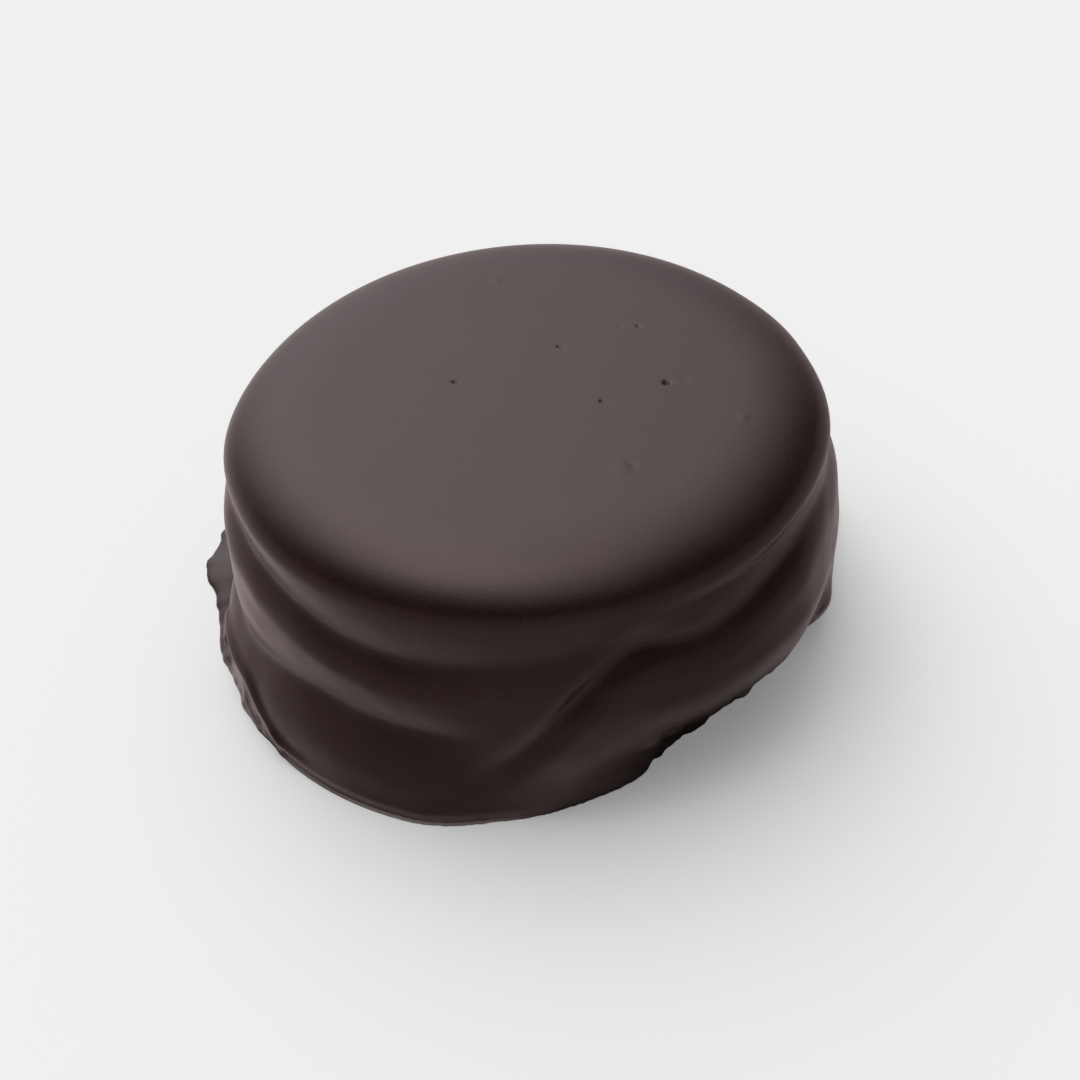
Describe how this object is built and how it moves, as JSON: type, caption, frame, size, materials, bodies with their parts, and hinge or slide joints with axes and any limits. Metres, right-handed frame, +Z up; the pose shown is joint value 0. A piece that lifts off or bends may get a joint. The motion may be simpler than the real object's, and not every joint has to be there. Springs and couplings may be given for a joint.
{
  "type": "alfajor cookie",
  "caption": "Round sandwich cookie fully coated in dark chocolate, with soft folds in the coat, a spread foot and a flat base to rest on.",
  "frame": {"origin": "middle of the flat underside, on the axis of the round body", "axes": "+Z up through the cookie, +Y to the back, where the foot spreads, -Y to the front"},
  "size_m": [0.0666, 0.0671, 0.0302],
  "materials": {
    "dark_couverture": "satin dark chocolate coat, faint grain, soft sheen"
  },
  "bodies": {
    "root": {"alfajor": "dark_couverture"}
  },
  "joints": []
}
